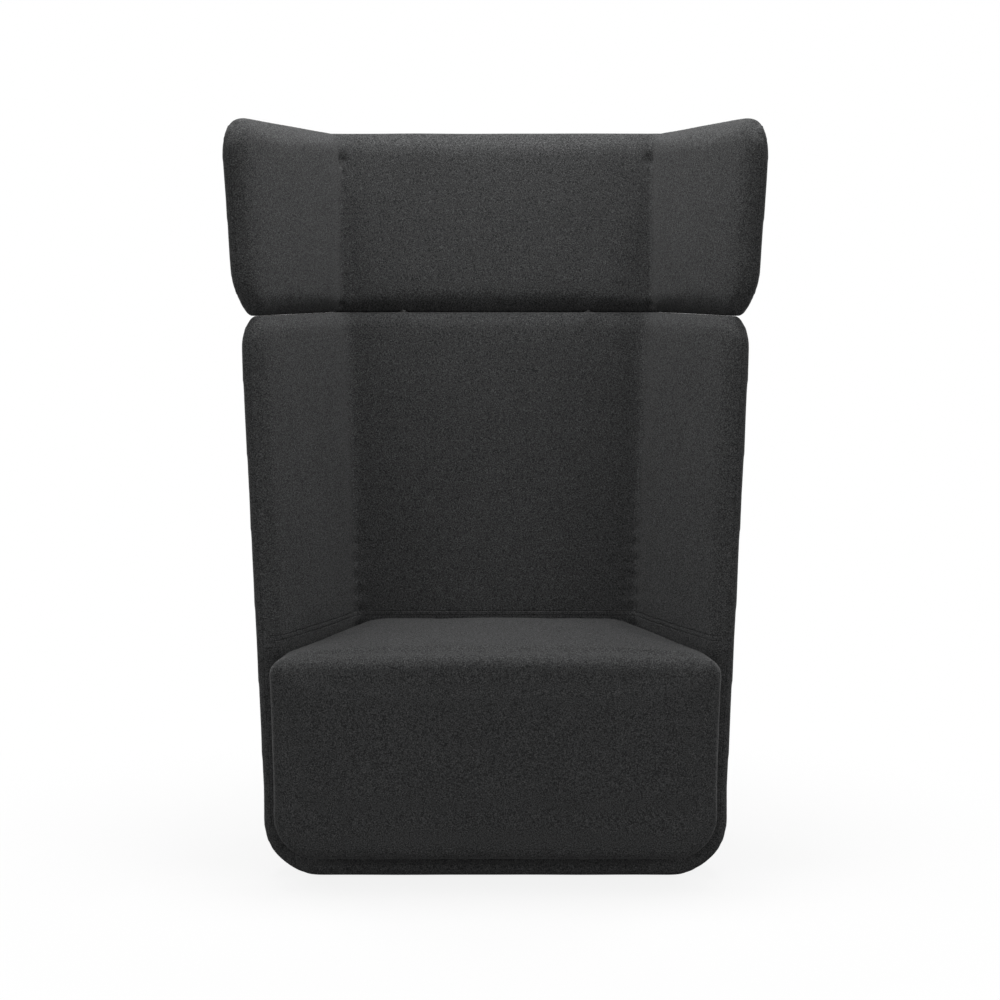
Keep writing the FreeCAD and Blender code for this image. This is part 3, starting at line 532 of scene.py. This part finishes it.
# Finishes of the frame's own pieces
finishes = {
    "plywood": plywood(),
    "foam": foam_skin(),
    "webbing": woven("elastic_webbing", 0.19, 260.0, 0.0004),
    "dust_cloth": woven("dust_cloth", 0.02, 700.0, 0.0001),
    "black_plastic": moulded("black_plastic", 0.02),
    "clamp_plastic": moulded("filled_nylon", 0.12, 700.0, 0.42),
    "spacer_rubber": moulded("spacer_rubber", 0.03, 500.0, 0.7),
    "post_steel": steel("drawn_steel", 0.56, 0.0, 0.24, (1.0, 1.0, 0.03)),
    "zinc_steel": steel("zinc_plate", 0.62, 0.03, 0.34, (1.0, 1.0, 1.0)),
    "wool_felt": felt_cloth,
}
for subpart in frame["record"]["subparts"]:
    node = frame["nodes"][subpart["node"]]
    node.data.materials.clear()
    node.data.materials.append(finishes[subpart["material_slot"]])

low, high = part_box("post_bezels")
CHANNEL = 0.0109
BEZEL_RADIUS = 0.013
POST_X = high[0] - BEZEL_RADIUS
BEZEL_Y = (low[1] + high[1]) / 2
BEZEL_Z = (low[2] + high[2]) / 2
SLIDE_AXIS = (0, math.sin(RECLINE), math.cos(RECLINE))
SIDES = ("right", "left")

# The shell's cover: one sewn skin round the wings, the back and the base

SHELL_NODES = ["outer_base", "outer_back", "base_liner", "back_liner", "inner_back"]
for side in SIDES:
    SHELL_NODES += [f"outer_wing_{side}", f"wing_liner_{side}", f"inner_wing_{side}"]
HEAD_NODES = ["head_outer_back", "head_inner_back"]
for side in SIDES:
    HEAD_NODES += [f"head_outer_wing_{side}", f"head_inner_wing_{side}"]
HEAD_BOARDS = ["head_back_board", "head_wing_board_right", "head_wing_board_left"]
FOOT_CORNER = 0.100
FOOT_LEVEL = 0.004
COVER = 0.012
SHELL_MESH = 0.0075
FINE_MESH = 0.0065
SHELL_FULLNESS = 0.006
HEAD_FULLNESS = 0.007
SEAT_FULLNESS = 0.0045
FOOT_FULLNESS = 0.0045
FELT_UNEVEN = 0.0004
EDGE_ROUND = 0.02
FOLD_ROUND = 0.016


def crease(form, points, reach):
    """1 along the valley between a wing and the back, 0 away from it."""
    return bell(np.hypot(side_gap(form, points) - WING_WALL, back_gap(points) - BACK_WALL), reach)


def inner_edge(form, points):
    """1 along the inner front edge of a wing, 0 away from it."""
    return bell(np.hypot(side_gap(form, points) - WING_WALL, front_gap(form, points)), EDGE_ROUND)


def rim_line(form, points, foot):
    """How far points lie inside the seam between the outer and the inner cover."""
    inside = np.minimum(side_gap(form, points), back_gap(points)) - RIM_SEAM
    if foot:
        across = FOOT_CORNER - side_gap(form, points)
        up = FOOT_CORNER - (points[:, 2] - FOOT_LEVEL)
        round_foot = FOOT_CORNER - RIM_SEAM - np.hypot(np.maximum(across, 0), np.maximum(up, 0))
        inside = np.minimum(inside, round_foot)
    return inside


SEAT_LINE_SLOPE = 0.0443
SEAT_LINE_FRONT = 0.4317
SEAT_LINE_START = -0.25


def seat_line_at(y):
    """Height of the sewn line that runs round the inside, just over the seat: lower towards the back."""
    return SEAT_LINE_FRONT - SEAT_LINE_SLOPE * (y - SEAT_LINE_START)


def seat_line(points):
    """How far points lie above that line."""
    return points[:, 2] - seat_line_at(points[:, 1])


def inside_shell(points):
    """1 on the inner faces of the shell, 0 outside it."""
    return (rim_line(CHAIR, points, True) > COVER).astype(float)


def fullness(form, points, joint, free):
    """0 at a panel's edges and 1 in its middle: quick to rise at the joint, slow at the free rims."""
    rise = 1 - np.exp(-np.maximum(joint, 0) / 0.015)
    rise *= 1 - np.exp(-np.maximum(free, 0) / 0.05)
    return rise * (1 - crease(form, points, 0.045))


def shell_crown(points, normals):
    """The fullness of the padding on the inner panels, and its slow unevenness."""
    full = fullness(CHAIR, points, CHAIR_TOP - points[:, 2], front_gap(CHAIR, points))
    inner = inside_shell(points) * np.clip((points[:, 2] - 0.15) / 0.3, 0, 1)
    slow = 0.0007 * waves(points, 22, 3)
    quick = 0.0003 * waves(points, 45, 4)
    return inner * (SHELL_FULLNESS * full + slow) + quick + 0.0008


def softer_edge(piece, form, level, reach, amount, clear_of_posts):
    """Lets the inner faces fall back in a wide round as they come to a level."""
    points = read_points(piece.data)
    normals = read_points(piece.data, "vertices", "normal")
    inner = np.minimum(side_gap(form, points), back_gap(points)) > 0.6 * WING_WALL
    rise = np.clip(1 - abs(points[:, 2] - level) / reach, 0, 1)
    fall = amount * (1 - np.sqrt(1 - np.minimum(rise, 0.97) ** 2)) * inner
    if clear_of_posts:
        fall *= 1 - bell(abs(points[:, 0]) - POST_X, 0.022) * (back_gap(points) < 0.09)
    sideways = normals * np.array([1, 1, 0])
    write_points(piece.data, points - sideways * fall[:, None])


def rounder_corner(piece, form, level, reach, amount):
    """Draws the padding in round a wing's front corner at one level, towards the middle of the wing."""
    points = read_points(piece.data)
    down = -1 if level > points[:, 2].mean() else 1
    away = np.sqrt(side_gap(form, points) ** 2 + front_gap(form, points) ** 2 + (points[:, 2] - level) ** 2)
    across = -0.5 * np.sign(points[:, 0])
    inwards = np.stack([across, np.full(len(points), 0.7), np.full(len(points), 0.5 * down)], 1)
    write_points(piece.data, points + inwards * (amount * bell(away, reach))[:, None])


def over_boards(piece, form, nodes, cover=0.0045):
    """Keeps the felt at the wings' fronts at least a cover's thickness outside the boards."""
    boards = joined_nodes("boards", nodes)
    core = BVHTree.FromObject(boards, bpy.context.evaluated_depsgraph_get())
    points = read_points(piece.data)
    for index in np.flatnonzero((front_gap(form, points) < 0.05) & (points[:, 2] > 0.2)):
        place, facing, _, _ = core.find_nearest(Vector(points[index]))
        off = Vector(points[index]) - place
        if off.dot(facing) < -0.5 * off.length:
            points[index] = place + facing * cover
        elif off.length < cover:
            points[index] = place + (off + facing * 1e-6).normalized() * cover
    write_points(piece.data, points)
    bpy.data.objects.remove(boards)


def wing_side(side):
    """1 for the right wing and -1 for the left, in the direction that x grows."""
    return 1 if side == "right" else -1


def side_tilt(form, side):
    """The way that the distance inside a form's side plane grows."""
    return (-wing_side(side) * math.cos(SPLAY) * math.cos(form["flare"]),
            -math.sin(SPLAY) * math.cos(form["flare"]), math.sin(form["flare"]))


def rim_seams(piece, form, top, low):
    """Seams between the outer and the inner cover along a form's rims."""
    for side in SIDES:
        def on_rim(points, side=side):
            front = front_gap(form, points) < RIM_SEAM
            edge = (points[:, 2] > top - RIM_SEAM) | (points[:, 2] < low)
            wing = (points[:, 0] * wing_side(side) > 0) & (back_gap(points) > RIM_SEAM)
            return wing & (front | edge) & (points[:, 2] > FOOT_CORNER)
        sewn(piece, lambda p: side_gap(form, p) - RIM_SEAM, side_tilt(form, side), on_rim)

    def on_back_rim(points):
        between = side_gap(form, points) > RIM_SEAM
        return between & ((points[:, 2] > top - RIM_SEAM) | (points[:, 2] < low))
    sewn(piece, lambda p: back_gap(p) - RIM_SEAM, (0, -math.cos(RECLINE), math.sin(RECLINE)), on_back_rim)


def set_contact(piece, level, up):
    """Presses a cover flat where it meets its neighbour at one level."""
    points = read_points(piece.data)
    facing = read_points(piece.data, "vertices", "normal")[:, 2] * up
    near = np.clip(1 - abs(points[:, 2] - level) / 0.012, 0, 1) * np.clip((facing - 0.2) / 0.5, 0, 1)
    points[:, 2] += up * 0.003 * near
    high = (points[:, 2] - level) * up > 0
    points[high, 2] = level
    write_points(piece.data, points)


shell_source = [node for node in SHELL_NODES if node != "inner_back"] + ["shell_wrap", "back_board"]
shell = joined_nodes("shell_cover", shell_source, ["inner_back"])
even_skin(shell, SHELL_MESH)
relax(shell, 8, lambda p: 0.5 * crease(CHAIR, p, FOLD_ROUND) * np.clip((p[:, 2] - 0.45) / 0.4, 0.25, 1))
relax(shell, 10, lambda p: 0.5 * inner_edge(CHAIR, p))
relax(shell, 2)
push(shell, shell_crown)
rounder_corner(shell, CHAIR, CHAIR_TOP, 0.036, 0.013)
softer_edge(shell, CHAIR, CHAIR_TOP, 0.034, 0.011, True)


def fuller_foot(points, normals):
    """The base's cover is full at its front rim, right round the foot."""
    outside = rim_line(CHAIR, points, True) + RIM_SEAM
    rim = bell(front_gap(CHAIR, points) - 0.004, 0.014) * bell(outside - 0.004, 0.014)
    return FOOT_FULLNESS * rim * np.clip((0.16 - points[:, 2]) / 0.06, 0, 1)


push(shell, fuller_foot)
points = read_points(shell.data)
points[:, 2] = np.maximum(points[:, 2], 0.0012)
write_points(shell.data, points)
finer(shell)


SHELL_TUCK = 0.0032
SHELL_LUMP = 0.0012


def shell_tucks(points, normals):
    """The felt drawn in along each crease, more and a little lumpy towards the seat."""
    depth = np.clip((CHAIR_TOP - 0.05 - points[:, 2]) / 0.5, 0, 1)
    lumps = SHELL_LUMP * crease(CHAIR, points, 0.02) * np.sin(points[:, 2] * 190) * depth ** 4
    return -SHELL_TUCK * depth * crease(CHAIR, points, 0.007) + lumps


push(shell, shell_tucks)
set_contact(shell, CHAIR_TOP + 0.0002, 1)
rim_seams(shell, CHAIR, CHAIR_TOP, 0)
SEAT_LINE_TILT = Vector((0, SEAT_LINE_SLOPE, 1)).normalized()
ROW_GAP = 0.0042
for row in (-ROW_GAP, ROW_GAP):
    sewn(shell, lambda p: (seat_line(p) - row) * SEAT_LINE_TILT.z, SEAT_LINE_TILT,
         lambda p: inside_shell(p) > 0)
hollowed(shell, [rod_cutter((x, BEZEL_Y, BEZEL_Z), SLIDE_AXIS, CHANNEL, 0.30) for x in (-POST_X, POST_X)])
dress(shell, "chair", felt_cloth, 0.9, *SHELL_NODES)

# The headrest's cover

head_source = [node for node in HEAD_NODES if node != "head_inner_back"] + HEAD_BOARDS
head = joined_nodes("headrest_cover", head_source, ["head_inner_back"])


def head_crown(points):
    """How far the headrest's padding may swell."""
    ends = np.minimum(HEAD_TOP - points[:, 2], points[:, 2] - HEAD_LOW)
    full = fullness(HEAD, points, ends, front_gap(HEAD, points))
    inner = np.minimum(side_gap(HEAD, points), back_gap(points)) > COVER
    return 0.0008 + HEAD_FULLNESS * inner * full


even_skin(head, FINE_MESH)
relax(head, 4, lambda p: 0.5 * crease(HEAD, p, FOLD_ROUND))
relax(head, 10, lambda p: 0.5 * inner_edge(HEAD, p))
relax(head, 2)
plumped(head, head_crown)
rounder_corner(head, HEAD, HEAD_TOP, 0.046, 0.021)
rounder_corner(head, HEAD, HEAD_LOW, 0.042, 0.028)
softer_edge(head, HEAD, HEAD_LOW, 0.038, 0.012, True)
softer_edge(head, HEAD, HEAD_TOP, 0.050, 0.018, False)
finer(head)
over_boards(head, HEAD, HEAD_BOARDS)


HEAD_TUCK = 0.0055
HEAD_PINCH = 0.0075
TUCK_START = HEAD_TOP - 0.036
PINCH_LEVEL = HEAD_TOP - 0.057


def head_tucks(points, normals):
    """The felt drawn in along each crease, most at a pinch near its top."""
    line = crease(HEAD, points, 0.006) * np.clip((TUCK_START - points[:, 2]) / 0.014, 0, 1)
    pinch = crease(HEAD, points, 0.011) * bell(points[:, 2] - PINCH_LEVEL, 0.012)
    return -HEAD_TUCK * line - HEAD_PINCH * pinch


push(head, lambda p, n: FELT_UNEVEN * waves(p, 40, 8) + 0.0006)
push(head, head_tucks)
set_contact(head, HEAD_LOW - 0.0001, -1)
rim_seams(head, HEAD, HEAD_TOP, HEAD_LOW + RIM_SEAM)
hollowed(head, [rod_cutter((x, BEZEL_Y, BEZEL_Z), SLIDE_AXIS, CHANNEL, 0.25) for x in (-POST_X, POST_X)])
dress(head, "headrest", felt_cloth, 0.9, *HEAD_NODES)

# The seat's cushion

SEAT_TOP_LET_DOWN = 0.009
SEAT_FRONT_LET_DOWN = 0.003
seat = joined_nodes("seat_cushion", ["seat_cover"], ["seat_cover"])
even_skin(seat, FINE_MESH)


def seat_cap(points):
    """The seat swells at its top and front, and not where it lies between the wings or on its base."""
    free = np.clip((points[:, 2] - 0.09) / 0.1, 0, 1)
    between = np.clip((CHAIR["front"] + 0.01 - points[:, 1]) / 0.05, 0, 1)
    top = np.clip((points[:, 2] - 0.37) / 0.03, 0, 1)
    return FELT_UNEVEN + free * SEAT_FULLNESS * np.maximum(between, top)


relax(seat, 3)
plumped(seat, seat_cap)
points = read_points(seat.data)
forward = np.clip((0.05 - points[:, 1]) / 0.4, 0, 1)
points[:, 2] -= SEAT_TOP_LET_DOWN * forward * np.clip((points[:, 2] - 0.30) / 0.10, 0, 1)
under_front = np.clip((0.10 - points[:, 2]) / 0.05, 0, 1) * np.clip((-0.25 - points[:, 1]) / 0.1, 0, 1)
points[:, 2] -= SEAT_FRONT_LET_DOWN * under_front
write_points(seat.data, points)
finer(seat)
push(seat, lambda p, n: FELT_UNEVEN * waves(p, 30, 12))
low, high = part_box("seat_bottom_cloth")
hollowed(seat, [box_cutter((low[0], low[1], 0.03), (high[0], high[1], high[2]))])
dress(seat, "chair", felt_cloth, 0.95, "seat_cover", "seat_foam")

# Collars where the posts leave the back and enter the headrest


def turned_rings(name, centres, axis, profile, sides=64):
    """Closed rings turned from a profile of radius and height about an axis."""
    verts, faces = [], []
    turn = Vector(axis).to_track_quat("Z", "Y").to_matrix()
    count = len(profile)
    for centre in centres:
        first = len(verts)
        for k in range(sides):
            angle = 2 * math.pi * k / sides
            for radius, height in profile:
                local = Vector((radius * math.cos(angle), radius * math.sin(angle), height))
                verts.append(Vector(centre) + turn @ local)
        for k in range(sides):
            here = first + k * count
            there = first + (k + 1) % sides * count
            for step in range(count):
                after = (step + 1) % count
                faces.append((here + step, there + step, there + after, here + after))
    mesh = bpy.data.meshes.new(name)
    mesh.from_pydata(verts, [], faces)
    mesh.polygons.foreach_set("use_smooth", np.ones(len(mesh.polygons), bool))
    return put_in_scene(name, mesh)


def collar(name, body, node, level):
    """A slim moulded collar with a round lip, sunk in the felt."""
    outer, inner, tall, lip = 0.0107, 0.0084, 0.0055, 0.0009
    profile = [(inner, 0), (outer, 0), (outer, tall - lip), (outer - 0.3 * lip, tall - 0.3 * lip),
               (outer - lip, tall), (inner + lip, tall), (inner + 0.3 * lip, tall - 0.3 * lip),
               (inner, tall - lip)]
    low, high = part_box(node)
    middle = (low[2] + high[2]) / 2
    y = (low[1] + high[1]) / 2 + (level - middle) * math.tan(RECLINE)
    ring = turned_rings(name, [(x, y, level) for x in (-POST_X, POST_X)], SLIDE_AXIS, profile)
    ring.data.materials.append(finishes["black_plastic"])
    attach(ring, body)
    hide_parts(node)


collar("post_collars", "chair", "post_bezels", CHAIR_TOP - 0.0037)
collar("sleeve_collars", "headrest", "sleeve_bezels", HEAD_LOW + 0.0020)

# The double row of topstitching just over the seat

STITCH = 0.0052
STITCH_GAP = 0.0012
THREAD = 0.00045
ROW_START = 0.075
ROW_CORNER_X = 0.272
ROW_CORNER_Y = 0.135
BACK_ROW_LEVEL = 0.415


def felt_face(skin, start, direction):
    """Where a line from inside the chair meets the cover, and the way the cover faces there."""
    place, facing, _, _ = skin.ray_cast(Vector(start), Vector(direction))
    return place, facing


def row_stops(skin, row):
    """Places and facings along one stitched row: up one wing, along the back and down the other wing."""
    stops = []
    step = STITCH + STITCH_GAP
    wing = np.arange(CHAIR["front"] + ROW_START, ROW_CORNER_Y, step)
    back = np.arange(-ROW_CORNER_X, ROW_CORNER_X, step)
    for side, run in ((-1, wing), (0, back), (1, wing[::-1])):
        for along in run:
            if side:
                place, facing = felt_face(skin, (0, along, seat_line_at(along) + row), (side, 0, 0))
                run_way = Vector((0, 1, -SEAT_LINE_SLOPE))
            else:
                place, facing = felt_face(skin, (along, 0, BACK_ROW_LEVEL + row), (0, 1, 0))
                run_way = Vector((1, 0, 0))
            if place is not None:
                stops.append((place, facing, run_way))
    return stops


def sew_topstitch():
    """Small spindles of thread, half sunk in the felt."""
    skin = BVHTree.FromObject(shell, bpy.context.evaluated_depsgraph_get())
    verts, faces = [], []
    sides = 6
    for row in (-ROW_GAP, ROW_GAP):
        for place, facing, along in row_stops(skin, row):
            along = (along - facing * along.dot(facing)).normalized()
            across = along.cross(facing)
            first = len(verts)
            for reach, girth in ((-0.5, 0.4), (-0.3, 1.0), (0.3, 1.0), (0.5, 0.4)):
                for k in range(sides):
                    turn = 2 * math.pi * k / sides
                    ring = across * math.cos(turn) * 1.3 + facing * math.sin(turn)
                    sunk = facing * (THREAD * (0.4 if abs(reach) < 0.4 else -0.6))
                    verts.append(place + along * (STITCH * reach) + ring * (THREAD * girth) + sunk)
            for ring in range(3):
                for k in range(sides):
                    here = first + ring * sides
                    nxt = (k + 1) % sides
                    faces.append((here + k, here + nxt, here + sides + nxt, here + sides + k))
            faces.append([first + k for k in reversed(range(sides))])
            faces.append([first + 3 * sides + k for k in range(sides)])
    mesh = bpy.data.meshes.new("seat_topstitch")
    mesh.from_pydata(verts, [], faces)
    mesh.polygons.foreach_set("use_smooth", np.ones(len(mesh.polygons), bool))
    mesh.materials.append(thread())
    stitches = put_in_scene("seat_topstitch", mesh)
    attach(stitches, "chair")


sew_topstitch()

# Camera, as the photograph was taken
LENS = 74.43
SENSOR = 36.0
camera_data = bpy.data.cameras.new("camera")
camera_data.lens = LENS
camera_data.sensor_width = SENSOR
camera = bpy.data.objects.new("camera", camera_data)
CAMERA_PLACE = (0.0084, -3.985, 1.097)
CAMERA_DIP = 6.265
camera.location = CAMERA_PLACE
camera.rotation_euler = (math.radians(90 - CAMERA_DIP), 0, 0)
camera_data.clip_end = 200
scene.collection.objects.link(camera)
scene.camera = camera


# Floor, backdrop and lights

SHADOW_SHARE = 0.14
SHADOW_FULL = 0.6
SHADOW_END = 1.3


def studio_floor():
    """White with the chair's shadow where the camera looks; a quiet grey for the light it gives back."""
    paint = Paint("studio_floor")
    path = paint.tree.nodes.new("ShaderNodeLightPath")
    seen = Value(paint, path.outputs["Is Camera Ray"]) + Value(paint, path.outputs["Is Glossy Ray"])
    seen = (seen + Value(paint, path.outputs["Is Transmission Ray"])).clamped(0.0, 1.0)
    grain = paint.noise(paint.place(), 3.0, 2.0)
    plain = paint.node("ShaderNodeBsdfDiffuse", {}, {"Color": paint.mixed(grain, grey(0.20), grey(0.22))})
    bright = paint.node("ShaderNodeBsdfDiffuse", {}, {"Color": grey(0.9)})
    glow = paint.node("ShaderNodeEmission", {}, {"Color": grey(1.0), "Strength": 1.0})
    away = paint.node("ShaderNodeVectorMath", {"operation": "LENGTH"}, {0: paint.place()}, "Value")
    shaded = SHADOW_SHARE * (1 - away.clamped(SHADOW_FULL, SHADOW_END))
    white = paint.node("ShaderNodeMixShader", {}, {0: shaded, 1: glow, 2: bright})
    paint.node_output(paint.node("ShaderNodeMixShader", {}, {0: seen, 1: plain, 2: white}))
    return paint.material


def make_floor():
    """A plain floor, far wider than the picture."""
    size = 30.0
    mesh = bpy.data.meshes.new("floor")
    corners = [(-size, -size, 0), (size, -size, 0), (size, size, 0), (-size, size, 0)]
    mesh.from_pydata(corners, [], [(0, 1, 2, 3)])
    mesh.materials.append(studio_floor())
    floor = put_in_scene("floor", mesh)


def studio_world(strength):
    """White where the camera, a gloss or a clear piece looks, and a soft even light elsewhere."""
    world = bpy.data.worlds.new("studio")
    scene.world = world
    world.use_nodes = True
    nodes, links = world.node_tree.nodes, world.node_tree.links
    nodes.clear()
    path = nodes.new("ShaderNodeLightPath")
    total = nodes.new("ShaderNodeMath")
    total.operation = "ADD"
    total.use_clamp = True
    links.new(path.outputs["Is Camera Ray"], total.inputs[0])
    links.new(path.outputs["Is Glossy Ray"], total.inputs[1])
    every = nodes.new("ShaderNodeMath")
    every.operation = "ADD"
    every.use_clamp = True
    links.new(total.outputs[0], every.inputs[0])
    links.new(path.outputs["Is Transmission Ray"], every.inputs[1])
    soft = nodes.new("ShaderNodeBackground")
    soft.inputs["Strength"].default_value = strength
    white = nodes.new("ShaderNodeBackground")
    white.inputs["Color"].default_value = (1, 1, 1, 1)
    mix = nodes.new("ShaderNodeMixShader")
    out = nodes.new("ShaderNodeOutputWorld")
    links.new(every.outputs[0], mix.inputs[0])
    links.new(soft.outputs[0], mix.inputs[1])
    links.new(white.outputs[0], mix.inputs[2])
    links.new(mix.outputs[0], out.inputs["Surface"])


def softbox(name, place, aim, width, height, power):
    """A rectangular lamp turned towards a point, in watts. The camera doesn't see it."""
    data = bpy.data.lights.new(name, "AREA")
    data.shape = "RECTANGLE"
    data.size = width
    data.size_y = height
    data.energy = power
    lamp = bpy.data.objects.new(name, data)
    lamp.location = place
    lamp.rotation_euler = (Vector(aim) - Vector(place)).to_track_quat("-Z", "Y").to_euler()
    lamp.visible_camera = False
    scene.collection.objects.link(lamp)


make_floor()
studio_world(0.32)
softbox("overhead_near", (0, 0.1, 2.1), (0, 0.1, 0.8), 1.6, 0.8, 8)
softbox("overhead", (0, 0.15, 2.7), (0, 0.15, 0.8), 2.0, 1.2, 44)
softbox("overhead_front", (0, -1.1, 2.7), (0, 0, 0.8), 2.4, 1.2, 4)
for side in (-1, 1):
    softbox(f"side_far{side}", (3.4 * side, -3.0, 1.0), (0, 0, 0.6), 2.0, 2.0, 45)
    softbox(f"side_rear{side}", (2.4 * side, 2.4, 0.7), (0, 0, 0.7), 1.6, 2.0, 80)

scene.view_settings.view_transform = "Standard"
